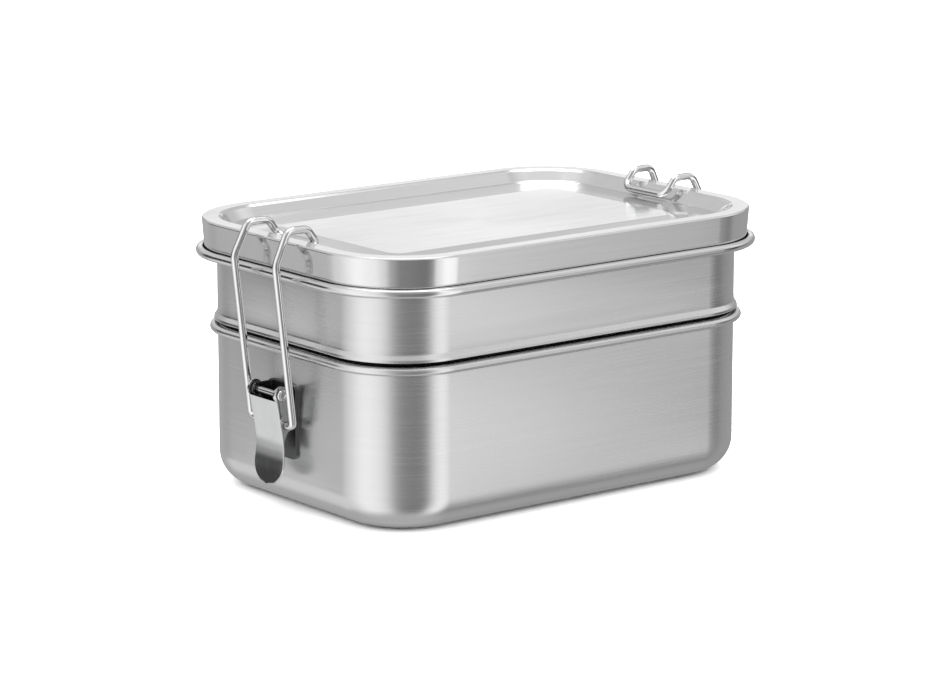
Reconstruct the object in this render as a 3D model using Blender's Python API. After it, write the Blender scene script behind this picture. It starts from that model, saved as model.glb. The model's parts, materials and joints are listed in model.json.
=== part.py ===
# Two-tier steel lunch box: a lower box, a tray that stands on its rim, and a
# lid that both latches pull down. +X is the long way, +Z is up, and the box
# stands on z = 0. All lengths below are millimetres; the scene is in metres.
import math

import bmesh
import bpy
from mathutils import Vector

MM = 0.001

# Plan of the walls, to their outer face.
WALL_X = 82.5
WALL_Y = 57.5
WALL_R = 26.0
CORNER_SEGMENTS = 8
SHEET = 0.7
GAP = 0.3

# Heights.
BOX_RIM_Z = 57.0
TRAY_FLOOR_Z = 50.0
TRAY_RIM_Z = 90.5
PANEL_Z = 89.7
LID_TOP_Z = 93.95
LID_BEAD_Z = 82.3

# Sections of the pressed sheet, as distances out from the wall's face.
BOX_FLOOR_R = 11.6
BOX_BEAD_R = 1.5
BOX_BEAD_OUT = 1.2
NEST_OUT = -1.2
TRAY_FLOOR_R = 6.0
STEP_OUT = 1.3
TRAY_BEAD_R = 1.2
TRAY_BEAD_OUT = 0.9
PANEL_OUT = -5.0
RING_IN_OUT = -1.6
RING_OUT_OUT = 5.0
SKIRT_OUT = 4.15
LID_BEAD_R = 1.6
LID_BEAD_OUT = 5.6
SLIT_WIDTH = 0.6

# The field in the middle of the lid's panel, raised a little.
FIELD_X = 62.5
FIELD_Y = 35.5
FIELD_R = 6.0
FIELD_RISE = 0.7

# The seal in the lid's channel.
SEAL_IN_OUT = 0.2
SEAL_OUT_OUT = 3.5
SEAL_Z0 = 90.8
SEAL_Z1 = 92.9

# Latch, drawn on the -X end: the pin's axis and the bail's axis run along Y.
PIN_X, PIN_Z = -89.3, 41.8
BAIL_X, BAIL_Z = -87.6, 31.2
PIN_R = 1.0
PIN_HEAD_R = 2.0
PIN_HEAD_Y = 8.2
PIN_END_Y = 9.1
WIRE_R = 1.3
HOLE_GAP = 0.12
WIRE_SIDES = 12
HOLE_SIDES = 20

PLATE_X0 = -WALL_X - GAP
PLATE_T = 1.0
PLATE_HALF_Y = 8.0
PLATE_Z0, PLATE_Z1 = 18.6, 44.5
PLATE_CORNER_R = 2.0
BRACKET_EAR_IN = 6.0
BRACKET_EAR_OUT = 6.8
BRACKET_BOSS_R = 2.1
WELD_Y, WELD_Z = 3.4, 23.0
WELD_R = 1.3
WELD_DEPTH = 0.3

LEVER_T = 0.7
LEVER_HALF_Y = 7.9
LEVER_EAR_IN = 7.2
LEVER_EAR_OUT = 7.9
LEVER_EAR_PIN_R = 3.0
LEVER_EAR_BAIL_R = 2.5
LEVER_FOOT_Z = 24.5
LEVER_TIP_Z = 10.2
LEVER_TIP_LENGTH = 6.8
LEVER_TIP_HALF_Y = 8.3
# (z, x) of the lever's outer face from its top edge to its tip.
LEVER_FACE = (
    (39.8, -91.55),
    (36.5, -90.9),
    (33.0, -90.3),
    (29.0, -89.6),
    (26.0, -89.15),
    (23.0, -89.0),
    (20.0, -89.15),
    (17.0, -89.5),
    (14.4, -89.85),
    (12.4, -90.2),
    (11.0, -90.45),
    (LEVER_TIP_Z, -90.6),
)

# Bail: half width of its legs, and the corners of the bent wire on one side.
LEG_Y = 12.0
HOOK_Y = 11.2
BAIL_END_Y = 6.95
BAIL_CORNERS = (
    ((BAIL_X, LEG_Y, BAIL_Z), 2.2),
    ((-94.0, LEG_Y, 87.0), 4.5),
    ((-88.6, 11.4, 98.0), 3.8),
    ((-80.6, HOOK_Y, 97.8), 3.2),
    ((-76.2, HOOK_Y, 91.95), 3.4),
)
BEND_SEGMENTS = 5


def clear_scene():
    for ob in list(bpy.data.objects):
        bpy.data.objects.remove(ob, do_unlink=True)


def material(name, color, roughness, metallic):
    mat = bpy.data.materials.new(name)
    mat.use_nodes = True
    shader = mat.node_tree.nodes["Principled BSDF"]
    shader.inputs["Base Color"].default_value = (*color, 1.0)
    shader.inputs["Roughness"].default_value = roughness
    shader.inputs["Metallic"].default_value = metallic
    return mat


def new_object(name, bm, mat, origin=(0.0, 0.0, 0.0), smooth=True):
    """Makes the object with its origin at origin, given in millimetres."""
    bmesh.ops.recalc_face_normals(bm, faces=bm.faces)
    shift = Vector(origin)
    for v in bm.verts:
        v.co = (v.co - shift) * MM
    mesh = bpy.data.meshes.new(name)
    bm.to_mesh(mesh)
    bm.free()
    for face in mesh.polygons:
        face.use_smooth = smooth
    ob = bpy.data.objects.new(name, mesh)
    ob.location = shift * MM
    bpy.context.scene.collection.objects.link(ob)
    if mat:
        ob.data.materials.append(mat)
    return ob


def rounded_rectangle(half_x, half_y, radius, z):
    points = []
    for quarter in range(4):
        sx = 1 if quarter in (0, 3) else -1
        sy = 1 if quarter in (0, 1) else -1
        for i in range(CORNER_SEGMENTS + 1):
            a = math.pi / 2 * (quarter + i / CORNER_SEGMENTS)
            x = sx * (half_x - radius) + radius * math.cos(a)
            y = sy * (half_y - radius) + radius * math.sin(a)
            points.append((x, y, z))
    return points


def wall_loop(out, z):
    return rounded_rectangle(WALL_X + out, WALL_Y + out, WALL_R + out, z)


def arc(cx, cz, radius, start, end, segments):
    """Points of an arc in a section, angles in degrees from the +x side."""
    points = []
    for i in range(segments + 1):
        a = math.radians(start + (end - start) * i / segments)
        points.append((cx + radius * math.cos(a), cz + radius * math.sin(a)))
    return points


def loft(loops, closed=False):
    """Joins loops of equal length; caps both ends unless the loft is closed."""
    bm = bmesh.new()
    rows = [[bm.verts.new(p) for p in loop] for loop in loops]
    pairs = list(zip(rows, rows[1:]))
    if closed:
        pairs.append((rows[-1], rows[0]))
    for low, high in pairs:
        for i in range(len(low)):
            j = (i + 1) % len(low)
            bm.faces.new((low[i], low[j], high[j], high[i]))
    if not closed:
        bm.faces.new(rows[0])
        bm.faces.new(rows[-1])
    return bm


def extruded(outline, y0, y1):
    """A plate from an outline in X and Z, between two values of Y."""
    return loft([[(x, y, z) for x, z in outline] for y in (y0, y1)])


def make_lower_box(mat):
    r = BOX_FLOOR_R
    bead_z = BOX_RIM_Z - BOX_BEAD_R
    section = arc(-r, r, r, 270, 360, 6)
    section += [(0.0, bead_z - 1.4), (0.25, bead_z - 1.15)]
    section += arc(BOX_BEAD_OUT, bead_z, BOX_BEAD_R, -130, 90, 9)
    section += [(0.0, BOX_RIM_Z), (-0.5, BOX_RIM_Z - 0.15)]
    section += [(-SHEET, BOX_RIM_Z - 0.6)]
    section += arc(-r, r, r - SHEET, 360, 270, 6)
    return new_object("lower_box", loft([wall_loop(*p) for p in section]), mat)


def make_upper_tray(mat):
    r = TRAY_FLOOR_R
    corner = (NEST_OUT - r, TRAY_FLOOR_Z + r)
    step_z = BOX_RIM_Z + GAP
    bead_z = TRAY_RIM_Z - TRAY_BEAD_R
    section = arc(*corner, r, 270, 360, 5)
    section += [(NEST_OUT, step_z), (0.6, step_z), (1.1, step_z + 0.35)]
    section += [(STEP_OUT, step_z + 1.1), (1.1, step_z + 2.0)]
    section += [(0.5, step_z + 2.9), (0.0, step_z + 3.9)]
    section += [(0.0, bead_z - 1.1)]
    section += arc(TRAY_BEAD_OUT, bead_z, TRAY_BEAD_R, -120, 90, 7)
    section += [(-0.3, TRAY_RIM_Z - 0.1), (-SHEET, TRAY_RIM_Z - 0.5)]
    section += [(-SHEET, step_z + 4.0), (-0.2, step_z + 3.0)]
    section += [(0.45, step_z + 1.9), (0.5, step_z + 1.1)]
    section += [(0.2, step_z + SHEET), (NEST_OUT - SHEET, step_z + SHEET)]
    section += arc(*corner, r - SHEET, 360, 270, 5)
    return new_object("upper_tray", loft([wall_loop(*p) for p in section]), mat)


def make_lid(mat):
    top = LID_TOP_Z
    bead = (LID_BEAD_OUT, LID_BEAD_Z)
    slit = SKIRT_OUT + SLIT_WIDTH
    outer = [(PANEL_OUT, PANEL_Z), (PANEL_OUT + 0.45, PANEL_Z + 0.15)]
    outer += [(PANEL_OUT + 0.75, PANEL_Z + 0.5)]
    outer += [(RING_IN_OUT - 0.35, top - 0.75), (RING_IN_OUT, top - 0.32)]
    outer += [(RING_IN_OUT + 0.4, top - 0.08), (RING_IN_OUT + 0.9, top)]
    outer += [(RING_OUT_OUT - 0.8, top), (RING_OUT_OUT - 0.28, top - 0.18)]
    outer += [(RING_OUT_OUT, top - 0.7)]
    outer += [(SKIRT_OUT, LID_BEAD_Z + 0.1), (slit, LID_BEAD_Z + 0.1)]
    outer += arc(*bead, LID_BEAD_R, 122, -110, 10)
    inner = [(SKIRT_OUT - SHEET, LID_BEAD_Z - 0.9)]
    inner += [(RING_OUT_OUT - SHEET - 0.05, top - 1.1)]
    inner += [(RING_OUT_OUT - SHEET - 0.4, top - SHEET)]
    inner += [(RING_IN_OUT + 1.1, top - SHEET), (RING_IN_OUT + 0.45, top - 1.1)]
    inner += [(PANEL_OUT + 1.3, PANEL_Z - 0.2), (PANEL_OUT + 0.7, PANEL_Z - 0.6)]
    inner += [(PANEL_OUT, PANEL_Z - SHEET)]
    field_z = PANEL_Z + FIELD_RISE
    loops = [rounded_rectangle(FIELD_X, FIELD_Y, FIELD_R, field_z)]
    loops += [wall_loop(*p) for p in outer + inner]
    loops += [rounded_rectangle(FIELD_X, FIELD_Y, FIELD_R, field_z - SHEET)]
    return new_object("lid", loft(loops), mat)


def make_seal(mat):
    soft = 0.5
    section = [(SEAL_IN_OUT, SEAL_Z0 + soft), (SEAL_IN_OUT + soft, SEAL_Z0)]
    section += [(SEAL_OUT_OUT - soft, SEAL_Z0), (SEAL_OUT_OUT, SEAL_Z0 + soft)]
    section += [(SEAL_OUT_OUT, SEAL_Z1 - soft), (SEAL_OUT_OUT - soft, SEAL_Z1)]
    section += [(SEAL_IN_OUT + soft, SEAL_Z1), (SEAL_IN_OUT, SEAL_Z1 - soft)]
    loops = [wall_loop(*p) for p in section]
    return new_object("lid_seal", loft(loops, closed=True), mat)


def disc(cx, cz, radius, y, sides):
    loop = []
    for i in range(sides):
        a = 2 * math.pi * i / sides
        loop.append((cx + radius * math.cos(a), y, cz + radius * math.sin(a)))
    return loop


def cutter(name, bm):
    ob = new_object(name, bm, None)
    ob.hide_render = True
    ob.display_type = "WIRE"
    return ob


def combine(ob, tool, operation):
    """Applies one exact Boolean with tool, then removes the tool."""
    mod = ob.modifiers.new(operation.lower(), "BOOLEAN")
    mod.operation = operation
    mod.solver = "EXACT"
    mod.object = tool
    depsgraph = bpy.context.evaluated_depsgraph_get()
    mesh = bpy.data.meshes.new_from_object(ob.evaluated_get(depsgraph))
    ob.modifiers.clear()
    old = ob.data
    ob.data = mesh
    mesh.name = ob.name
    bpy.data.meshes.remove(old)
    bpy.data.objects.remove(tool, do_unlink=True)


def cut_hole(ob, x, z, radius, half_length):
    loops = [disc(x, z, radius, y, HOLE_SIDES) for y in (-half_length, half_length)]
    combine(ob, cutter("hole", loft(loops)), "DIFFERENCE")


def mirrored(bm, side):
    """Turns a shape drawn on the -X end into the same shape on side."""
    if side > 0:
        for v in bm.verts:
            v.co.x = -v.co.x
    return bm


def make_bracket(name, side, mat):
    x0, x1 = PLATE_X0 - PLATE_T, PLATE_X0
    half_z = (PLATE_Z1 - PLATE_Z0) / 2
    mid_z = PLATE_Z0 + half_z
    flat = rounded_rectangle(PLATE_HALF_Y, half_z, PLATE_CORNER_R, 0.0)
    loops = [[(x, y, mid_z + z) for y, z, _ in flat] for x in (x0, x1)]
    origin = (-side * PLATE_X0, 0.0, mid_z)
    ob = new_object(name, mirrored(loft(loops), side), mat, origin)
    root_x = x0 + PLATE_T / 2
    outline = [(root_x, PLATE_Z0 + 15.0), (root_x, PLATE_Z1 - 0.6)]
    outline += arc(PIN_X, PIN_Z, BRACKET_BOSS_R, 80, 290, 12)
    for a, b in ((BRACKET_EAR_IN, BRACKET_EAR_OUT), (-BRACKET_EAR_OUT, -BRACKET_EAR_IN)):
        ear = cutter("ear", mirrored(extruded(outline, a, b), side))
        combine(ob, ear, "UNION")
    cut_hole(ob, -side * PIN_X, PIN_Z, PIN_R + HOLE_GAP, PLATE_HALF_Y)
    for y in (-WELD_Y, WELD_Y):
        flat = disc(y, WELD_Z, WELD_R, 0.0, 16)
        loops = [[(x, a, b) for a, _, b in flat] for x in (x0 - 1.0, x0 + WELD_DEPTH)]
        combine(ob, cutter("dimple", mirrored(loft(loops), side)), "DIFFERENCE")
    return ob


def make_pin(name, side, mat):
    rise = PIN_END_Y - PIN_HEAD_Y
    head = [(0.25, PIN_END_Y), (1.1, PIN_END_Y - 0.12 * rise)]
    head += [(1.7, PIN_END_Y - 0.5 * rise), (PIN_HEAD_R, PIN_HEAD_Y)]
    half = head + [(PIN_R, PIN_HEAD_Y)]
    section = half + [(r, -y) for r, y in reversed(half)]
    loops = [disc(PIN_X, PIN_Z, r, y, HOLE_SIDES) for r, y in section]
    origin = (-side * PIN_X, 0.0, PIN_Z)
    return new_object(name, mirrored(loft(loops), side), mat, origin)


def lever_half_width(z):
    """The lever's half width: straight sides, then a rounded tip."""
    start = LEVER_TIP_Z + LEVER_TIP_LENGTH
    if z >= LEVER_FOOT_Z:
        return LEVER_HALF_Y
    if z >= start:
        part = (LEVER_FOOT_Z - z) / (LEVER_FOOT_Z - start)
        return LEVER_HALF_Y + (LEVER_TIP_HALF_Y - LEVER_HALF_Y) * part
    fall = min((start - z) / LEVER_TIP_LENGTH, 0.985)
    return LEVER_TIP_HALF_Y * math.sqrt(1.0 - fall * fall)


def make_lever(name, side, mat):
    loops = []
    for z, x in LEVER_FACE:
        w = lever_half_width(z)
        inner = x + LEVER_T
        loops.append([(x, -w, z), (x, w, z), (inner, w, z), (inner, -w, z)])
    origin = (-side * PIN_X, 0.0, PIN_Z)
    ob = new_object(name, mirrored(loft(loops), side), mat, origin, smooth=False)
    spine = [(x + LEVER_T / 2, z) for z, x in LEVER_FACE if z > LEVER_FOOT_Z]
    outline = arc(BAIL_X, BAIL_Z, LEVER_EAR_BAIL_R, -75, 0, 4)
    outline += arc(PIN_X, PIN_Z, LEVER_EAR_PIN_R, 0, 200, 12)
    outline += spine
    for a, b in ((LEVER_EAR_IN, LEVER_EAR_OUT), (-LEVER_EAR_OUT, -LEVER_EAR_IN)):
        ear = cutter("ear", mirrored(extruded(outline, a, b), side))
        combine(ob, ear, "UNION")
    cut_hole(ob, -side * PIN_X, PIN_Z, PIN_R + HOLE_GAP, PIN_END_Y)
    cut_hole(ob, -side * BAIL_X, BAIL_Z, WIRE_R + HOLE_GAP, PIN_END_Y)
    return ob


def filleted(points):
    """Rounds the corners of a path given as (corner, bend radius)."""
    path = [Vector(points[0][0])]
    for (before, _), (corner, radius), (after, _) in zip(points, points[1:], points[2:]):
        corner = Vector(corner)
        a = (Vector(before) - corner).normalized()
        b = (Vector(after) - corner).normalized()
        half = a.angle(b) / 2
        bisector = (a + b).normalized()
        centre = corner + bisector * (radius / math.sin(half))
        reach = radius / math.tan(half)
        start = corner + a * reach - centre
        end = corner + b * reach - centre
        sweep = start.angle(end)
        for i in range(BEND_SEGMENTS + 1):
            t = i / BEND_SEGMENTS
            p = start * math.sin((1 - t) * sweep) + end * math.sin(t * sweep)
            path.append(centre + p / math.sin(sweep))
    path.append(Vector(points[-1][0]))
    return path


def tube(path, radius, sides):
    """Sweeps a circle along a path, carrying its frame without twist."""
    loops = []
    tangent = (path[1] - path[0]).normalized()
    normal = tangent.orthogonal().normalized()
    for i, point in enumerate(path):
        before = path[max(i - 1, 0)]
        after = path[min(i + 1, len(path) - 1)]
        new = (after - before).normalized()
        normal.rotate(tangent.rotation_difference(new))
        tangent = new
        side = tangent.cross(normal)
        loop = []
        for k in range(sides):
            a = 2 * math.pi * k / sides
            loop.append(point + (normal * math.cos(a) + side * math.sin(a)) * radius)
        loops.append(loop)
    return loft(loops)


def make_bail(name, side, mat):
    half = [((BAIL_X, BAIL_END_Y, BAIL_Z), 0.0)] + list(BAIL_CORNERS)
    other = [((x, -y, z), r) for (x, y, z), r in reversed(half)]
    bm = tube(filleted(half + other), WIRE_R, WIRE_SIDES)
    origin = (-side * BAIL_X, 0.0, BAIL_Z)
    return new_object(name, mirrored(bm, side), mat, origin)


def build():
    clear_scene()
    body_steel = material("satin_steel_box", (0.74, 0.745, 0.74), 0.30, 1.0)
    tray_steel = material("satin_steel_tray", (0.70, 0.705, 0.70), 0.30, 1.0)
    lid_steel = material("satin_steel_lid", (0.78, 0.78, 0.775), 0.27, 1.0)
    seal = material("clear_silicone", (0.86, 0.87, 0.86), 0.45, 0.0)
    make_lower_box(body_steel)
    make_upper_tray(tray_steel)
    make_lid(lid_steel)
    make_seal(seal)
    for word, side in (("left", -1), ("right", 1)):
        plate = material("bracket_steel_" + word, (0.60, 0.60, 0.60), 0.20, 1.0)
        pin = material("pin_steel_" + word, (0.80, 0.80, 0.80), 0.15, 1.0)
        bright = material("lever_chrome_" + word, (0.84, 0.845, 0.85), 0.10, 1.0)
        wire = material("wire_chrome_" + word, (0.86, 0.86, 0.865), 0.08, 1.0)
        make_bracket("latch_bracket_" + word, side, plate)
        make_pin("pivot_pin_" + word, side, pin)
        make_lever("lever_" + word, side, bright)
        make_bail("bail_" + word, side, wire)


build()
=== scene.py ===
# Looks of the two-tier steel lunch box: every shell, latch part and wire is made
# again with fine sections, and lit like a plain studio shot. The sections below are
# millimetres measured from the walls; the walls themselves come from the CAD boxes.
import json
import math

import bmesh
import bpy
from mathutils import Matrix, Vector

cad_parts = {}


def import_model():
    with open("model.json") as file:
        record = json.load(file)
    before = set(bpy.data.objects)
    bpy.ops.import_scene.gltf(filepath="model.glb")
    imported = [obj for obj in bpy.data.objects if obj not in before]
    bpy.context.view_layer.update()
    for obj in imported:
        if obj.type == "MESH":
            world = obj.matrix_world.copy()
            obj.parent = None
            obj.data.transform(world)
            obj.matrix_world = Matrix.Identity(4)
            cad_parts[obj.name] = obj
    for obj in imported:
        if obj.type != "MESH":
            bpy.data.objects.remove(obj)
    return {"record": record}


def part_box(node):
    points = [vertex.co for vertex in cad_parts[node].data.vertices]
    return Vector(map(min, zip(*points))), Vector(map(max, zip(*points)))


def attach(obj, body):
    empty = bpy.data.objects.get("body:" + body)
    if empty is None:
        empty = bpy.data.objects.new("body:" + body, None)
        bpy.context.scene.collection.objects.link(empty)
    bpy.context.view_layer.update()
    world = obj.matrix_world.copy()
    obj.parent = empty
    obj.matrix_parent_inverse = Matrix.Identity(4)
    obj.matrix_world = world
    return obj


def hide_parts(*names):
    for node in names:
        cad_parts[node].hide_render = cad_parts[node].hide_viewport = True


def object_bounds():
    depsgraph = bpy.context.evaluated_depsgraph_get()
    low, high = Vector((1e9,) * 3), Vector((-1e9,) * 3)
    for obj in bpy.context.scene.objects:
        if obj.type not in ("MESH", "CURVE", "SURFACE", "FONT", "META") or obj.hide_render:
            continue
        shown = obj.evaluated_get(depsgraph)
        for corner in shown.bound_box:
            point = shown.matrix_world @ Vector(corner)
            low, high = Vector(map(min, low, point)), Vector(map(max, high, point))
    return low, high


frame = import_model()
cad_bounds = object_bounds()

MM = 0.001
NEARLY_STRAIGHT = 1.55
# samples of the painted shade in crevices
PAINTED_SHADE_SAMPLES = 6


# ---------------------------------------------------------------- CAD sizes
def box_mm(node):
    low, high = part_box(node)
    return [v / MM for v in low], [v / MM for v in high]


box_high = box_mm("lower_box")[1]
tray_low, tray_high = box_mm("upper_tray")
lid_high = box_mm("lid")[1]
BOX_BEAD_REACH = 2.7
WALL_X = box_high[0] - BOX_BEAD_REACH
WALL_Y = box_high[1] - BOX_BEAD_REACH
WALL_R = 26.0
BOX_RIM_Z = box_high[2]
TRAY_FLOOR_Z = tray_low[2]
TRAY_RIM_Z = tray_high[2]
LID_TOP_Z = lid_high[2]
SHEET = 0.7
GAP = 0.3
BOX_BOW = 0.55
TRAY_BOW = 0.65
CORNER_SEGMENTS = 26
SIDE_SEGMENTS = 12

hinges = {j["name"]: j for j in frame["record"]["behaviour"]["joints"]}
PIN_X = hinges["lever_left_turn"]["pos_m"][0] / MM
PIN_Z = hinges["lever_left_turn"]["pos_m"][2] / MM
BAIL_X = hinges["bail_left_swing"]["pos_m"][0] / MM
BAIL_Z = hinges["bail_left_swing"]["pos_m"][2] / MM


# ------------------------------------------------------------- node helpers
class Graph:
    """A node tree, built by short calls."""

    def __init__(self, tree):
        self.tree = tree
        self.shader = tree.nodes.get("Principled BSDF")

    def node(self, kind, **settings):
        n = self.tree.nodes.new(kind)
        for key, value in settings.items():
            setattr(n, key, value)
        return n

    def link(self, a, b):
        self.tree.links.new(a, b)

    def coordinates(self, scale):
        tex = self.node("ShaderNodeTexCoord")
        mapping = self.node("ShaderNodeMapping")
        mapping.inputs["Scale"].default_value = scale
        self.link(tex.outputs["Object"], mapping.inputs["Vector"])
        return mapping.outputs["Vector"]

    def noise(self, vector, detail, roughness):
        n = self.node("ShaderNodeTexNoise")
        n.inputs["Scale"].default_value = 1.0
        n.inputs["Detail"].default_value = detail
        n.inputs["Roughness"].default_value = roughness
        self.link(vector, n.inputs["Vector"])
        return n.outputs["Fac"]

    def spread(self, value, low, high, to_low=0.0, to_high=1.0, kind="LINEAR"):
        n = self.node("ShaderNodeMapRange", interpolation_type=kind)
        n.inputs["From Min"].default_value = low
        n.inputs["From Max"].default_value = high
        n.inputs["To Min"].default_value = to_low
        n.inputs["To Max"].default_value = to_high
        self.link(value, n.inputs["Value"])
        return n.outputs["Result"]

    def maths(self, operation, a, b):
        n = self.node("ShaderNodeMath", operation=operation)
        for socket, value in ((n.inputs[0], a), (n.inputs[1], b)):
            if isinstance(value, (int, float)):
                socket.default_value = value
            else:
                self.link(value, socket)
        return n.outputs["Value"]

    def blend(self, factor, a, b):
        n = self.node("ShaderNodeMix", data_type="RGBA")
        self.link(factor, n.inputs["Factor"])
        for socket, value in ((n.inputs[6], a), (n.inputs[7], b)):
            if isinstance(value, tuple):
                socket.default_value = (*value, 1.0)
            else:
                self.link(value, socket)
        return n.outputs[2]

    def bump(self, height, strength, distance, normal=None):
        n = self.node("ShaderNodeBump")
        n.inputs["Strength"].default_value = strength
        n.inputs["Distance"].default_value = distance
        self.link(height, n.inputs["Height"])
        if normal is not None:
            self.link(normal, n.inputs["Normal"])
        return n.outputs["Normal"]

    def edges(self):
        """1 on outer edges, lightened partly by wear and partly by a painted highlight, 0
        elsewhere.
        """
        geometry = self.node("ShaderNodeNewGeometry")
        return self.spread(geometry.outputs["Pointiness"], 0.52, 0.60)

    def painted_crevice_shade(self, reach, darkest):
        """Painted shade: darkest deep inside grooves narrower than reach, 1 on open faces."""
        n = self.node("ShaderNodeAmbientOcclusion", samples=PAINTED_SHADE_SAMPLES)
        n.inputs["Distance"].default_value = reach
        return self.spread(n.outputs["AO"], 0.12, 0.55, darkest, 1.0)

    def dimmed(self, colour, factor):
        n = self.node("ShaderNodeVectorMath", operation="SCALE")
        self.link(colour, n.inputs[0])
        self.link(factor, n.inputs["Scale"])
        return n.outputs["Vector"]


def new_material(name):
    mat = bpy.data.materials.new(name)
    mat.use_nodes = True
    return mat, Graph(mat.node_tree)


def scaled(color, factor):
    return tuple(c * factor for c in color)


def brushed_steel(name, color, roughness, stretch, grain, lie):
    """Satin steel: the grain is noise stretched by stretch along each axis, and lie
    is how far the grain draws highlights out."""
    mat, g = new_material(name)
    fine = g.noise(g.coordinates(stretch), 3.0, 0.62)
    band = g.noise(g.coordinates(scaled(stretch, 0.22)), 2.0, 0.5)
    cloud = g.noise(g.coordinates((14.0, 14.0, 14.0)), 3.0, 0.55)
    wear_and_edge_highlight = g.edges()
    tint = g.maths("ADD", g.maths("MULTIPLY", fine, 0.55), g.maths("MULTIPLY", band, 0.45))
    tint = g.spread(tint, 0.32, 0.68)
    shade = g.blend(tint, scaled(color, 0.97), scaled(color, 1.02))
    shade = g.blend(g.spread(cloud, 0.35, 0.75, 0.0, 0.35), shade, scaled(color, 0.93))
    # lighter edges: partly wear, partly a painted edge highlight
    shade = g.blend(g.maths("MULTIPLY", wear_and_edge_highlight, 0.5), shade, (0.92, 0.92, 0.915))
    # painted shade: base colour darkened deep in grooves and seams
    shade = g.dimmed(shade, g.painted_crevice_shade(0.0022, 0.05))
    g.link(shade, g.shader.inputs["Base Color"])
    rough = g.spread(fine, 0.3, 0.7, roughness - 0.03, roughness + 0.03)
    rough = g.maths("ADD", rough, g.spread(cloud, 0.3, 0.7, -0.015, 0.02))
    rough = g.maths("SUBTRACT", rough, g.maths("MULTIPLY", wear_and_edge_highlight, 0.08))
    g.link(rough, g.shader.inputs["Roughness"])
    normal = g.bump(fine, grain, 0.00004)
    normal = g.bump(band, grain * 0.6, 0.00008, normal)
    g.link(normal, g.shader.inputs["Normal"])
    g.shader.inputs["Metallic"].default_value = 1.0
    g.shader.inputs["Anisotropic"].default_value = lie
    return mat


def polished_steel(name, color, roughness):
    """Bright plated metal with faint scratches, and edges lightened partly by wear and partly by
    a painted highlight.
    """
    mat, g = new_material(name)
    scratches = g.noise(g.coordinates((900.0, 900.0, 130.0)), 2.0, 0.6)
    smudge = g.noise(g.coordinates((120.0, 120.0, 120.0)), 3.0, 0.55)
    wear_and_edge_highlight = g.edges()
    shade = g.blend(g.spread(smudge, 0.35, 0.7), color, scaled(color, 0.93))
    # lighter edges: partly wear, partly a painted edge highlight
    shade = g.blend(g.maths("MULTIPLY", wear_and_edge_highlight, 0.4), shade, (0.95, 0.95, 0.95))
    # painted shade: base colour darkened deep in grooves and seams
    shade = g.dimmed(shade, g.painted_crevice_shade(0.0012, 0.15))
    g.link(shade, g.shader.inputs["Base Color"])
    g.shader.inputs["Specular Tint"].default_value = (0.45, 0.45, 0.45, 1.0)
    rough = g.spread(smudge, 0.3, 0.75, roughness, roughness + 0.05)
    rough = g.maths("ADD", rough, g.spread(scratches, 0.55, 0.8, 0.0, 0.05))
    g.link(rough, g.shader.inputs["Roughness"])
    g.link(g.bump(scratches, 0.25, 0.00001), g.shader.inputs["Normal"])
    g.shader.inputs["Metallic"].default_value = 1.0
    return mat


def silicone(name, color):
    mat, g = new_material(name)
    cloud = g.noise(g.coordinates((60.0, 60.0, 60.0)), 3.0, 0.5)
    pores = g.noise(g.coordinates((1500.0, 1500.0, 1500.0)), 2.0, 0.5)
    shade = g.blend(g.spread(cloud, 0.3, 0.7), color, scaled(color, 0.93))
    g.link(shade, g.shader.inputs["Base Color"])
    g.link(g.spread(pores, 0.3, 0.7, 0.42, 0.56), g.shader.inputs["Roughness"])
    g.link(g.bump(pores, 0.2, 0.00002), g.shader.inputs["Normal"])
    g.shader.inputs["Subsurface Weight"].default_value = 0.25
    g.shader.inputs["Subsurface Radius"].default_value = (0.002, 0.002, 0.002)
    return mat


# --------------------------------------------------------------- mesh tools
def plan_loop(half_x, half_y, radius, crown=0.0):
    """Points of a rounded rectangle, some of them along the
    straight sides; crown bows the sides outward by that much at their middle."""
    loop = []
    for quarter in range(4):
        sx = 1 if quarter in (0, 3) else -1
        sy = 1 if quarter in (0, 1) else -1
        cx, cy = sx * (half_x - radius), sy * (half_y - radius)
        for i in range(CORNER_SEGMENTS + 1):
            a = math.pi / 2 * (quarter + i / CORNER_SEGMENTS)
            loop.append((cx + radius * math.cos(a), cy + radius * math.sin(a)))
        nxt = (quarter + 1) % 4
        nx = 1 if nxt in (0, 3) else -1
        ny = 1 if nxt in (0, 1) else -1
        a = math.pi / 2 * (quarter + 1)
        ux, uy = math.cos(a), math.sin(a)
        x0, y0 = cx + radius * ux, cy + radius * uy
        x1, y1 = nx * (half_x - radius) + radius * ux, ny * (half_y - radius) + radius * uy
        for i in range(1, SIDE_SEGMENTS):
            t = i / SIDE_SEGMENTS
            bow = crown * 4 * t * (1 - t)
            loop.append((x0 + (x1 - x0) * t + ux * bow, y0 + (y1 - y0) * t + uy * bow))
    return loop


def wall_loop(out, z, crown=0.0):
    points = plan_loop(WALL_X + out, WALL_Y + out, WALL_R + out, crown)
    return [(x, y, z) for x, y in points]


def arc(cx, cz, radius, start, end, segments):
    points = []
    for i in range(segments + 1):
        a = math.radians(start + (end - start) * i / segments)
        points.append((cx + radius * math.cos(a), cz + radius * math.sin(a)))
    return points


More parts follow.
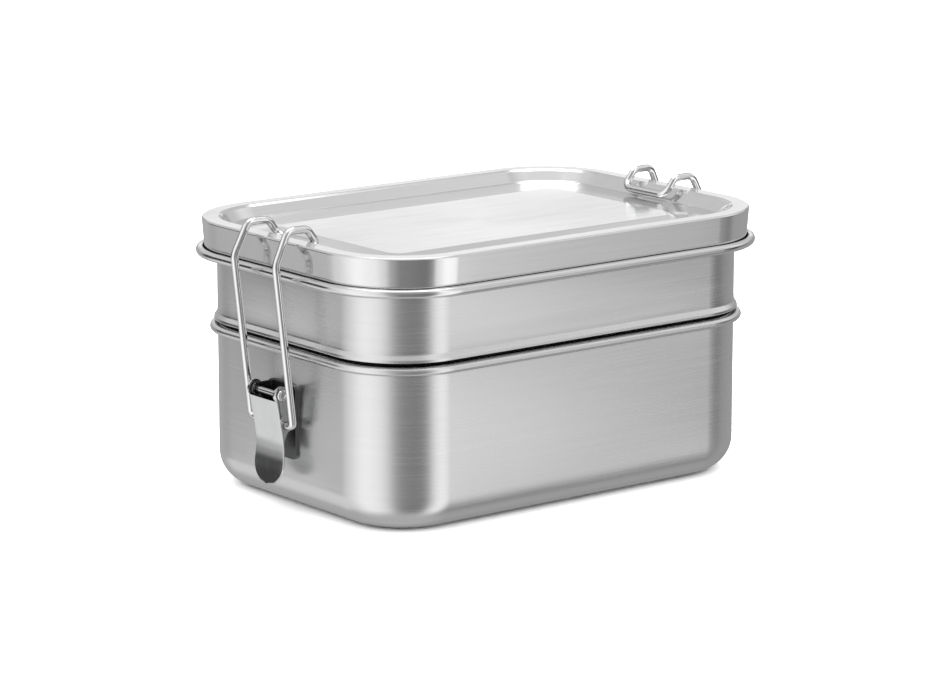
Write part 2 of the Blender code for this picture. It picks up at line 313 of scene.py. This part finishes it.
def round_corner(before, corner, after, radius, segments):
    """Points of the arc that rounds one corner, kept within half of each side."""
    corner = Vector(corner)
    a = Vector(before) - corner
    b = Vector(after) - corner
    room = 0.49 * min(a.length, b.length)
    a.normalize()
    b.normalize()
    half = a.angle(b) / 2
    if radius <= 0 or half > NEARLY_STRAIGHT:
        return [corner]
    reach = min(radius / math.tan(half), room)
    centre = corner + (a + b).normalized() * (reach * math.tan(half) / math.sin(half))
    start = corner + a * reach - centre
    end = corner + b * reach - centre
    sweep = start.angle(end)
    points = []
    for k in range(segments + 1):
        t = k / segments
        p = (start * math.sin((1 - t) * sweep) + end * math.sin(t * sweep)) / math.sin(sweep)
        points.append(centre + p)
    return points


def fillet(points, radii, segments):
    """Rounds the inner points of an open line, each by its own radius."""
    out = [Vector(points[0])]
    for i in range(1, len(points) - 1):
        out += round_corner(points[i - 1], points[i], points[i + 1], radii[i], segments)
    out.append(Vector(points[-1]))
    return out


def loft(loops, closed=False):
    """Joins equal loops in order, then closes the row into a tube or caps its ends."""
    bm = bmesh.new()
    rows = [[bm.verts.new([c * MM for c in p]) for p in loop] for loop in loops]
    pairs = list(zip(rows, rows[1:]))
    if closed:
        pairs.append((rows[-1], rows[0]))
    for low, high in pairs:
        for i in range(len(low)):
            j = (i + 1) % len(low)
            bm.faces.new((low[i], low[j], high[j], high[i]))
    if not closed:
        bm.faces.new(rows[0])
        bm.faces.new(rows[-1])
    return bm


def finish_mesh(name, bm, mat, body, node, sharp=None, bevel=0.0):
    """Makes the object, shades it, parents it to its CAD body and hides the CAD node it stands
    in for.
    """
    bmesh.ops.recalc_face_normals(bm, faces=bm.faces)
    mesh = bpy.data.meshes.new(name)
    bm.to_mesh(mesh)
    bm.free()
    ob = bpy.data.objects.new(name, mesh)
    bpy.context.scene.collection.objects.link(ob)
    mesh.materials.append(mat)
    for face in mesh.polygons:
        face.use_smooth = True
    if bevel:
        mod = ob.modifiers.new("bevel", "BEVEL")
        mod.width = bevel * MM
        mod.segments = 3
        mod.limit_method = "ANGLE"
        mod.angle_limit = math.radians(32.0)
        mod.use_clamp_overlap = True
    mod = ob.modifiers.new("normals", "WEIGHTED_NORMAL")
    mod.weight = 60
    mod.keep_sharp = True
    if sharp is not None:
        mesh.set_sharp_from_angle(angle=math.radians(sharp))
    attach(ob, body)
    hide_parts(node)
    return ob


# ------------------------------------------------------------------- shells
def rising_wall(low, high, steps):
    """Points up the flat part of a wall, between but without its two ends."""
    return [(0.0, low + (high - low) * i / steps) for i in range(1, steps)]


def bowed_loops(section, low, high, bow):
    """A wall section as loops whose straight sides swell by bow between two heights."""
    loops = []
    for out, z in section:
        rise = (z - low) / (high - low)
        swell = 0.0
        if 0.0 < rise < 1.0:
            swell = bow * math.sin(math.pi * rise) ** 0.8
        loops.append(wall_loop(out, z, swell))
    return loops


def lower_box(mat):
    r, bead_r, bead_out = 11.6, 1.5, 1.2
    bead_z = BOX_RIM_Z - bead_r
    top = bead_z - 1.5
    section = arc(-r, r, r, 270, 360, 14)
    section += rising_wall(r, top, 12)
    neck = [(0.0, top), (0.0, bead_z - 1.05), (0.35, bead_z - 1.2)]
    section += fillet(neck, [0.0, 0.3, 0.0], 5)
    section += arc(bead_out, bead_z, bead_r, -128, 178, 26)
    inside = bead_out - bead_r
    section += [(inside + 0.02, bead_z + 0.1), (inside - 0.05, bead_z + 0.5)]
    section += [(-0.45, BOX_RIM_Z - 0.25), (-SHEET, BOX_RIM_Z - 0.6), (-SHEET, top - 0.6)]
    section += [(-SHEET, r + 16.0)]
    section += arc(-r, r, r - SHEET, 360, 270, 12)
    loops = bowed_loops(section, r, top, BOX_BOW)
    return finish_mesh("visual_lower_box", loft(loops), mat, "base", "lower_box")


def upper_tray(mat):
    r, nest = 6.0, -1.2
    step_z = BOX_RIM_Z + GAP
    bead_r, bead_out = 1.2, 0.9
    bead_z = TRAY_RIM_Z - bead_r
    corner = (nest - r, TRAY_FLOOR_Z + r)
    section = arc(*corner, r, 270, 360, 10)
    swage = [(nest, step_z), (-0.1, step_z), (0.5, step_z + 0.75), (1.3, step_z + 0.95)]
    swage += [(1.15, step_z + 1.9), (0.1, step_z + 3.5), (0.0, step_z + 5.5)]
    section += fillet(swage, [0, 0.3, 0.4, 0.4, 0.9, 1.4, 0], 6)[1:]
    low, high = step_z + 5.5, bead_z - 1.3
    section += rising_wall(low, high, 9)
    section += [(0.0, high)]
    section += arc(bead_out, bead_z, bead_r, -130, 100, 18)
    section += [(-0.3, TRAY_RIM_Z - 0.1), (-SHEET, TRAY_RIM_Z - 0.5), (-SHEET, high - 1.0)]
    section += [(-SHEET, step_z + 5.0), (-0.5, step_z + 3.3), (0.3, step_z + 2.0)]
    section += [(0.3, step_z + 1.5), (-0.3, step_z + SHEET), (nest - SHEET, step_z + SHEET)]
    section += arc(*corner, r - SHEET, 360, 270, 10)
    loops = bowed_loops(section, low, high, TRAY_BOW)
    return finish_mesh("visual_upper_tray", loft(loops), mat, "base", "upper_tray")


def lid(mat):
    """From the middle of the panel out over the ring, down the skirt to the rolled
    edge, and back along the underside."""
    top = LID_TOP_Z
    panel_z, panel_out = 89.7, -5.0
    bead_out, bead_z, bead_r = 5.6, 82.3, 1.6
    skirt_out, slit, slit_z = 4.15, 0.8, bead_z - 0.85
    outer = [(panel_out - 1.5, panel_z), (panel_out + 0.45, panel_z + 0.1)]
    outer += [(-1.95, top - 0.75), (-0.9, top), (4.55, top), (5.0, top - 0.6)]
    outer += [(skirt_out, bead_z + 0.1)]
    outer = fillet(outer, [0, 0.75, 0.5, 0.7, 0.45, 0.5, 0], 6)
    outer += [(skirt_out + 0.05, slit_z), (skirt_out + slit - 0.05, slit_z)]
    outer += arc(bead_out, bead_z, bead_r, 126, -112, 26)
    inner = [(skirt_out - SHEET, bead_z - 0.9), (4.25, top - 1.1), (3.9, top - SHEET)]
    inner += [(-0.5, top - SHEET), (-1.15, top - 1.1), (panel_out + 1.3, panel_z - 0.2)]
    inner += [(panel_out + 0.7, panel_z - 0.6), (panel_out, panel_z - SHEET)]
    field_x, field_y, field_r = 62.5, 35.5, 6.0
    field_z = panel_z + 0.7
    loops = []
    for step, z in ((-1.8, field_z), (-0.7, field_z), (0.2, field_z - 0.1)):
        flat = plan_loop(field_x + step, field_y + step, field_r + step)
        loops.append([(x, y, z) for x, y in flat])
    loops += [wall_loop(*p) for p in outer + inner]
    flat = plan_loop(field_x, field_y, field_r)
    loops.append([(x, y, field_z - SHEET) for x, y in flat])
    return finish_mesh("visual_lid", loft(loops), mat, "base", "lid")


def lid_seal(mat):
    section = []
    for cx, cz, start in ((0.7, 91.3, 180), (3.0, 91.3, 270), (3.0, 92.4, 0), (0.7, 92.4, 90)):
        section += arc(cx, cz, 0.5, start, start + 90, 4)
    section.insert(10, (1.9, 91.05))
    loops = [wall_loop(*p) for p in section]
    return finish_mesh(
        "visual_lid_seal", loft(loops, closed=True), mat, "base", "lid_seal"
    )


# -------------------------------------------------------------- latch parts
# Drawn on the -X end; widths are half widths along Y.
PLATE_T = 1.0
PLATE_HALF_Y = 8.0
PLATE_CORNER_R = 2.0
PLATE_Z0, PLATE_Z1 = 18.6, 44.5
BRACKET_EAR_IN, BRACKET_EAR_OUT = 6.0, 6.8
BOSS_R = 2.1
WELD_Y, WELD_Z = 3.4, 23.0
DIMPLE_R, DIMPLE_DEPTH = 2.95, 0.31
PIN_HOLE_R = 1.12
HOLE_REACH = 9.6
LEVER_TOP_Z = 39.8
LEVER_FLARE_Z = 24.5
LEVER_TIP_Z = 10.2
LEVER_TIP_LENGTH = 6.8
LEVER_HALF_Y = 7.9
LEVER_TIP_HALF_Y = 8.3
LEVER_EAR_IN, LEVER_EAR_OUT = 7.2, 7.9
LEVER_CROWN = 0.10
WIRE_R = 1.3
WIRE_HOLE_R = 1.42
WIRE_EASE = 0.18
WIRE_SIDES = 32


def mirrored(bm, side):
    """Turns a shape drawn on the -X end into the same shape on side."""
    if side > 0:
        for v in bm.verts:
            v.co.x = -v.co.x
    return bm


def extruded(outline, y0, y1):
    return loft([[(x, y, z) for x, z in outline] for y in (y0, y1)])


def disc(cx, cz, radius, y, sides=40):
    loop = []
    for i in range(sides):
        a = 2 * math.pi * i / sides
        loop.append((cx + radius * math.cos(a), y, cz + radius * math.sin(a)))
    return loop


def boolean(bm, tool, operation):
    """Returns bm after one exact Boolean with tool; both are used up."""
    obs = []
    for shape in (bm, tool):
        bmesh.ops.recalc_face_normals(shape, faces=shape.faces)
        mesh = bpy.data.meshes.new("solid")
        shape.to_mesh(mesh)
        shape.free()
        ob = bpy.data.objects.new("solid", mesh)
        bpy.context.scene.collection.objects.link(ob)
        obs.append(ob)
    mod = obs[0].modifiers.new("cut", "BOOLEAN")
    mod.operation = operation
    mod.solver = "EXACT"
    mod.object = obs[1]
    depsgraph = bpy.context.evaluated_depsgraph_get()
    result = bmesh.new()
    evaluated = obs[0].evaluated_get(depsgraph)
    result.from_mesh(evaluated.to_mesh())
    evaluated.to_mesh_clear()
    for ob in obs:
        mesh = ob.data
        bpy.data.objects.remove(ob, do_unlink=True)
        bpy.data.meshes.remove(mesh)
    return result


def hole(bm, x, z, radius):
    drill = loft([disc(x, z, radius, y) for y in (-HOLE_REACH, HOLE_REACH)])
    return boolean(bm, drill, "DIFFERENCE")


def with_ears(bm, outline, inside, outside):
    """Joins two flat ears, mirrored across the latch's middle, to the shape."""
    for a, b in ((inside, outside), (-outside, -inside)):
        bm = boolean(bm, extruded(outline, a, b), "UNION")
    return bm


def bracket(word, side, mat):
    x1 = -WALL_X - GAP
    x0 = x1 - PLATE_T
    mid, half_z = (PLATE_Z0 + PLATE_Z1) / 2, (PLATE_Z1 - PLATE_Z0) / 2
    cy, cz = PLATE_HALF_Y - PLATE_CORNER_R, half_z - PLATE_CORNER_R
    flat = []
    for sx, sy, a0 in ((1, 1, 0), (-1, 1, 90), (-1, -1, 180), (1, -1, 270)):
        flat += arc(sx * cy, sy * cz, PLATE_CORNER_R, a0, a0 + 90, 7)
    plate = loft([[(x, y, mid + z) for y, z in flat] for x in (x0, x1)])
    root = x0 + 0.5
    outline = [(root, PLATE_Z0 + 15.0), (root, PLATE_Z1 - 0.6)]
    outline += arc(PIN_X, PIN_Z, BOSS_R, 80, 290, 22)
    plate = with_ears(plate, outline, BRACKET_EAR_IN, BRACKET_EAR_OUT)
    plate = hole(plate, PIN_X, PIN_Z, PIN_HOLE_R)
    for y in (-WELD_Y, WELD_Y):
        rings = []
        for k in range(1, 10):
            a = math.pi * k / 10
            x = x0 - DIMPLE_R + DIMPLE_DEPTH + DIMPLE_R * math.cos(a)
            circle = disc(y, WELD_Z, DIMPLE_R * math.sin(a), 0.0, 30)
            rings.append([(x, p, q) for p, _, q in circle])
        plate = boolean(plate, loft(rings), "DIFFERENCE")
    return finish_mesh(
        "visual_bracket_" + word, mirrored(plate, side), mat, "base",
        "latch_bracket_" + word, sharp=50, bevel=0.14,
    )


def pin(word, side, mat):
    head = [(0.05, 8.55), (0.55, 8.55), (0.78, 8.72), (0.95, 8.98), (1.15, 9.07), (1.4, 9.02)]
    head += [(1.68, 8.85), (1.88, 8.6), (1.98, 8.35), (1.98, 8.2), (1.0, 8.2)]
    section = fillet(head, [0, 0.1, 0.2, 0.2, 0.2, 0.3, 0.3, 0.3, 0.08, 0.03, 0], 3)
    section += [(r, -y) for r, y in reversed(section)]
    shape = loft([disc(PIN_X, PIN_Z, r, y) for r, y in section])
    return finish_mesh(
        "visual_pin_" + word, mirrored(shape, side), mat, "base",
        "pivot_pin_" + word, sharp=50,
    )


# (z, x) of the lever's outer face from its top edge to its tip.
LEVER_FACE = (
    (LEVER_TOP_Z, -91.55), (38.2, -91.22), (36.5, -90.9), (33.0, -90.3), (29.0, -89.6),
    (26.0, -89.15), (23.0, -89.0), (20.0, -89.15), (17.0, -89.5), (14.4, -89.85),
    (12.4, -90.2), (11.0, -90.45), (LEVER_TIP_Z, -90.6),
)


def face_x(z):
    """The lever's outer face at height z, along a smooth curve through LEVER_FACE."""
    points = LEVER_FACE
    for i in range(len(points) - 1):
        (za, xa), (zb, xb) = points[i], points[i + 1]
        if zb <= z <= za:
            before = points[max(i - 1, 0)]
            after = points[min(i + 2, len(points) - 1)]
            ma = (xb - before[1]) / (zb - before[0])
            mb = (after[1] - xa) / (after[0] - za)
            h = zb - za
            t = (z - za) / h
            return (
                (2 * t**3 - 3 * t**2 + 1) * xa + (t**3 - 2 * t**2 + t) * h * ma
                + (3 * t**2 - 2 * t**3) * xb + (t**3 - t**2) * h * mb
            )
    return points[-1][1]


def lever_half_width(z):
    start = LEVER_TIP_Z + LEVER_TIP_LENGTH
    if z >= LEVER_FLARE_Z:
        return LEVER_HALF_Y
    if z >= start:
        part = (LEVER_FLARE_Z - z) / (LEVER_FLARE_Z - start)
        return LEVER_HALF_Y + (LEVER_TIP_HALF_Y - LEVER_HALF_Y) * part
    fall = min((start - z) / LEVER_TIP_LENGTH, 0.992)
    return LEVER_TIP_HALF_Y * math.sqrt(1.0 - fall * fall)


def lever_heights():
    """Even steps down the face, then closer and closer ones round the tip."""
    start = LEVER_TIP_Z + LEVER_TIP_LENGTH
    heights = [LEVER_TOP_Z - i * 0.55 for i in range(42)]
    for i in range(1, 15):
        heights.append(start - LEVER_TIP_LENGTH * math.sin(math.pi / 2 * i / 14.5))
    return heights


def lever_loop(z):
    """One level section of the folded sheet, slightly crowned, with eased edges."""
    w, x = lever_half_width(z), face_x(z)
    c = min(0.22, 0.3 * w)
    front = []
    for i in range(9):
        y = -w + c + (2 * w - 2 * c) * i / 8
        front.append((x + LEVER_CROWN * (y / w) ** 2, y, z))
    back = [(p[0] + SHEET, p[1], z) for p in reversed(front)]
    edge = x + LEVER_CROWN
    loop = [(edge + c, -w, z), (edge + c * 0.3, -w + c * 0.3, z)] + front
    loop += [(edge + c * 0.3, w - c * 0.3, z), (edge + c, w, z)]
    return loop + [(edge + SHEET - c, w, z)] + back + [(edge + SHEET - c, -w, z)]


def lever(word, side, mat):
    heights = lever_heights()
    shape = loft([lever_loop(z) for z in heights])
    outline = arc(BAIL_X, BAIL_Z, 2.5, -75, 0, 9)
    outline += arc(PIN_X, PIN_Z, 3.0, 0, 200, 26)
    outline += [(face_x(z) + SHEET / 2, z) for z in heights if LEVER_FLARE_Z < z < 39.5]
    shape = with_ears(shape, outline, LEVER_EAR_IN, LEVER_EAR_OUT)
    shape = hole(shape, PIN_X, PIN_Z, PIN_HOLE_R)
    shape = hole(shape, BAIL_X, BAIL_Z, WIRE_HOLE_R)
    return finish_mesh(
        "visual_lever_" + word, mirrored(shape, side), mat, "latch_lever_" + word,
        "lever_" + word, sharp=40, bevel=0.13,
    )


# Corners of the bent wire on one side, from its end in the lever to the crossbar,
# and the radius of each bend.
BAIL_CORNERS = (
    (BAIL_X, 6.95, BAIL_Z), (BAIL_X, 12.0, BAIL_Z), (-94.0, 12.0, 87.0),
    (-88.6, 11.4, 98.0), (-80.6, 11.2, 97.8), (-76.2, 11.2, 91.95),
)
BAIL_BENDS = (0.0, 2.2, 4.5, 3.8, 3.2, 3.4)


def bail_path():
    other = [(x, -y, z) for x, y, z in reversed(BAIL_CORNERS)]
    path = fillet(list(BAIL_CORNERS) + other, BAIL_BENDS + BAIL_BENDS[::-1], 14)
    dense = [path[0]]
    for a, b in zip(path, path[1:]):
        count = max(1, int((b - a).length / 3.0))
        dense += [a.lerp(b, k / count) for k in range(1, count + 1)]
    return dense


def bail(word, side, mat):
    path = bail_path()
    last = len(path) - 1
    tangent = (path[1] - path[0]).normalized()
    normal = tangent.orthogonal().normalized()
    loops = []
    for i, point in enumerate(path):
        new = (path[min(i + 1, last)] - path[max(i - 1, 0)]).normalized()
        normal.rotate(tangent.rotation_difference(new))
        tangent = new
        across = tangent.cross(normal)
        rings = [(point, WIRE_R)]
        if i == 0:
            rings = [(point, WIRE_R - WIRE_EASE), (point + tangent * WIRE_EASE, WIRE_R)]
        if i == last:
            rings = [(point - tangent * WIRE_EASE, WIRE_R), (point, WIRE_R - WIRE_EASE)]
        for at, radius in rings:
            ring = []
            for k in range(WIRE_SIDES):
                a = 2 * math.pi * k / WIRE_SIDES
                ring.append(at + (normal * math.cos(a) + across * math.sin(a)) * radius)
            loops.append(ring)
    return finish_mesh(
        "visual_bail_" + word, mirrored(loft(loops), side), mat, "latch_bail_" + word,
        "bail_" + word, sharp=50,
    )


# ---------------------------------------------------------------- materials
WALL_GRAIN = (30.0, 30.0, 2600.0)
LID_GRAIN = (26.0, 1500.0, 2200.0)
box_steel = brushed_steel("box_steel", (0.745, 0.75, 0.745), 0.25, WALL_GRAIN, 0.035, 0.45)
tray_steel = brushed_steel("tray_steel", (0.735, 0.74, 0.735), 0.25, WALL_GRAIN, 0.045, 0.45)
lid_steel = brushed_steel("lid_steel", (0.775, 0.78, 0.775), 0.13, LID_GRAIN, 0.06, 0.3)
seal = silicone("seal_silicone", (0.84, 0.85, 0.84))
# painted shade: the bracket's very dark base colour stands in for the shade behind the lever and
# wires
bracket_steel = polished_steel("bracket_steel", (0.20, 0.20, 0.20), 0.20)
pin_steel = polished_steel("pin_steel", (0.80, 0.80, 0.80), 0.12)
lever_chrome = polished_steel("lever_chrome", (0.84, 0.845, 0.85), 0.08)
wire_chrome = polished_steel("wire_chrome", (0.90, 0.90, 0.905), 0.06)

lower_box(box_steel)
upper_tray(tray_steel)
lid(lid_steel)
lid_seal(seal)
for word, side in (("left", -1), ("right", 1)):
    bracket(word, side, bracket_steel)
    pin(word, side, pin_steel)
    lever(word, side, lever_chrome)
    bail(word, side, wire_chrome)


# -------------------------------------------------------------------- stage
FLOOR_HALF = 4.0
FLOOR_DROP = 0.0002


def floor():
    bm = bmesh.new()
    h = FLOOR_HALF
    corners = ((-h, -h), (h, -h), (h, h), (-h, h))
    bm.faces.new([bm.verts.new((x, y, 0.0)) for x, y in corners])
    mesh = bpy.data.meshes.new("floor")
    bm.to_mesh(mesh)
    bm.free()
    ob = bpy.data.objects.new("floor", mesh)
    bpy.context.scene.collection.objects.link(ob)
    ob.location.z = -FLOOR_DROP
    mat, g = new_material("pale_floor")
    cloud = g.noise(g.coordinates((6.0, 6.0, 6.0)), 2.0, 0.5)
    g.link(g.blend(cloud, (0.93, 0.93, 0.93), (0.95, 0.95, 0.95)), g.shader.inputs["Base Color"])
    g.shader.inputs["Roughness"].default_value = 0.9
    g.shader.inputs["Specular IOR Level"].default_value = 0.0
    mesh.materials.append(mat)
    ob.visible_glossy = False


# Brightness round the object at three heights, as (azimuth in degrees, value);
# azimuth 0 looks from the object towards -Y, and 90 towards +X.
TABLE_RING = (
    (-180, 0.50), (-160, 0.46), (-148, 0.48), (-140, 0.55), (-130, 0.80), (-95, 1.18),
    (-72, 1.08), (-60, 0.86), (-50, 0.44), (-38, 0.26), (-6, 0.21), (2, 0.34), (8, 0.95),
    (22, 1.24), (34, 1.18), (41, 0.60), (47, 0.34), (62, 0.26), (74, 0.40), (100, 0.40),
    (124, 0.36), (140, 0.36), (180, 0.50),
)
HORIZON_RING = (
    (-180, 0.45), (-164, 0.30), (-152, 0.28), (-142, 0.32), (-132, 0.65), (-95, 1.10),
    (-72, 1.00), (-60, 0.78), (-50, 0.38), (-38, 0.22), (-6, 0.18), (2, 0.34), (8, 1.0),
    (22, 1.18), (34, 1.00), (40, 0.44), (46, 0.12), (62, 0.06), (74, 0.26), (100, 0.36),
    (124, 0.40), (142, 0.42), (160, 0.45), (180, 0.45),
)
SKY_RING = (
    (-180, 0.68), (-160, 0.66), (-140, 0.74), (-95, 1.10), (-68, 0.95), (-54, 0.42),
    (-42, 0.34), (-4, 0.34), (4, 0.50), (14, 1.2), (34, 0.80), (52, 0.66), (62, 0.84),
    (76, 0.92), (98, 0.66), (120, 0.62), (142, 0.66), (165, 0.70), (180, 0.62),
)
CEILING = 0.85
LATCH_GLOW = 0.80
TABLE_BELOW = 0.55
ROOM_LIGHT = 2.4
LID_CARD = 1.12
LATCH_SHADE = 0.05


def grey(value):
    return (value, value, value)


def azimuth_turn(degrees):
    return (degrees + 180.0) / 360.0


class Surroundings(Graph):
    """The room as seen from the object, by azimuth and height."""

    def __init__(self, tree):
        super().__init__(tree)
        coords = self.node("ShaderNodeTexCoord")
        split = self.node("ShaderNodeSeparateXYZ")
        self.link(coords.outputs["Generated"], split.inputs["Vector"])
        x, y, self.height = split.outputs
        angle = self.maths("ARCTAN2", x, self.maths("MULTIPLY", y, -1.0))
        self.turn = self.maths("ADD", self.maths("DIVIDE", angle, 2 * math.pi), 0.5)

    def ring(self, values):
        n = self.node("ShaderNodeValToRGB")
        ramp = n.color_ramp
        ramp.interpolation = "EASE"
        while len(ramp.elements) < len(values):
            ramp.elements.new(0.5)
        for element, (azimuth, value) in zip(ramp.elements, values):
            element.position = azimuth_turn(azimuth)
            element.color = (*grey(value), 1.0)
        self.link(self.turn, n.inputs["Fac"])
        return n.outputs["Color"]

    def rise(self, low, high):
        """Smoothly 0 to 1 from height low to high, downwards when low is the greater."""
        return self.spread(self.height, low, high, kind="SMOOTHSTEP")

    def sweep(self, start, end):
        low, high = azimuth_turn(start), azimuth_turn(end)
        return self.spread(self.turn, low, high, kind="SMOOTHSTEP")

    def patch(self, below, above, before, after):
        """1 inside a soft patch between two heights and two azimuths."""
        rows = self.maths("MULTIPLY", self.rise(*below), self.rise(*above))
        columns = self.maths("MULTIPLY", self.sweep(*before), self.sweep(*after))
        return self.maths("MULTIPLY", rows, columns)


def world():
    scene_world = bpy.data.worlds.new("studio")
    bpy.context.scene.world = scene_world
    scene_world.use_nodes = True
    scene_world.node_tree.nodes.clear()
    room = Surroundings(scene_world.node_tree)
    low = room.blend(room.rise(-0.235, -0.155), room.ring(TABLE_RING), room.ring(HORIZON_RING))
    low = room.blend(room.rise(-0.70, -0.98), low, grey(TABLE_BELOW))
    seen = room.blend(room.rise(0.17, 0.30), low, room.ring(SKY_RING))
    seen = room.blend(room.rise(0.74, 0.88), seen, grey(CEILING))
    latch_side = ((-172, -160), (-128, -136))
    glow = room.patch((-0.75, -0.60), (-0.25, -0.35), *latch_side)
    seen = room.blend(glow, seen, grey(LATCH_GLOW))
    shade = room.patch((-0.16, -0.09), (0.36, 0.28), *latch_side)
    seen = room.blend(shade, seen, grey(LATCH_SHADE))
    card = room.patch((0.125, 0.165), (0.235, 0.205), (118, 132), (166, 152))
    seen = room.blend(card, seen, grey(LID_CARD))
    path = room.node("ShaderNodeLightPath")
    background = room.node("ShaderNodeBackground")
    shown = room.blend(path.outputs["Is Glossy Ray"], grey(ROOM_LIGHT), seen)
    room.link(shown, background.inputs["Color"])
    output = room.node("ShaderNodeOutputWorld")
    room.link(background.outputs["Background"], output.inputs["Surface"])


SOFTBOX_PLACE = (0.1, 0.15, 1.5)
SOFTBOX_AIM = (0.0, 0.0, 0.05)
SOFTBOX_SIZE = (1.3, 1.0)
SOFTBOX_WATTS = 9.0


def softbox():
    data = bpy.data.lights.new("softbox_top", "AREA")
    data.shape = "RECTANGLE"
    data.size, data.size_y = SOFTBOX_SIZE
    data.energy = SOFTBOX_WATTS
    ob = bpy.data.objects.new("softbox_top", data)
    bpy.context.scene.collection.objects.link(ob)
    ob.location = SOFTBOX_PLACE
    aim = Vector(SOFTBOX_AIM) - Vector(SOFTBOX_PLACE)
    ob.rotation_euler = aim.to_track_quat("-Z", "Y").to_euler()
    ob.visible_camera = False


CAMERA_AZIMUTH = math.radians(-38.12)
CAMERA_ELEVATION = math.radians(12.56)
CAMERA_DISTANCE = 1.3309
CAMERA_LENS = 144.23
CAMERA_SHIFT = (-0.00264, 0.01546)
TARGET_RISE = 0.39


def camera():
    low, high = [Vector(corner) for corner in cad_bounds]
    target = (low + high) / 2
    target.z = TARGET_RISE * (high.z - low.z)
    away = Vector((
        math.sin(CAMERA_AZIMUTH) * math.cos(CAMERA_ELEVATION),
        -math.cos(CAMERA_AZIMUTH) * math.cos(CAMERA_ELEVATION),
        math.sin(CAMERA_ELEVATION),
    ))
    data = bpy.data.cameras.new("photo_angle")
    data.sensor_width = 36.0
    data.lens = CAMERA_LENS
    data.shift_x, data.shift_y = CAMERA_SHIFT
    data.clip_start = 0.05
    data.clip_end = 30.0
    ob = bpy.data.objects.new("photo_angle", data)
    bpy.context.scene.collection.objects.link(ob)
    ob.location = target + away * CAMERA_DISTANCE
    ob.rotation_euler = (-away).to_track_quat("-Z", "Y").to_euler()
    bpy.context.scene.camera = ob


floor()
world()
softbox()
camera()
bpy.context.scene.view_settings.view_transform = "Standard"
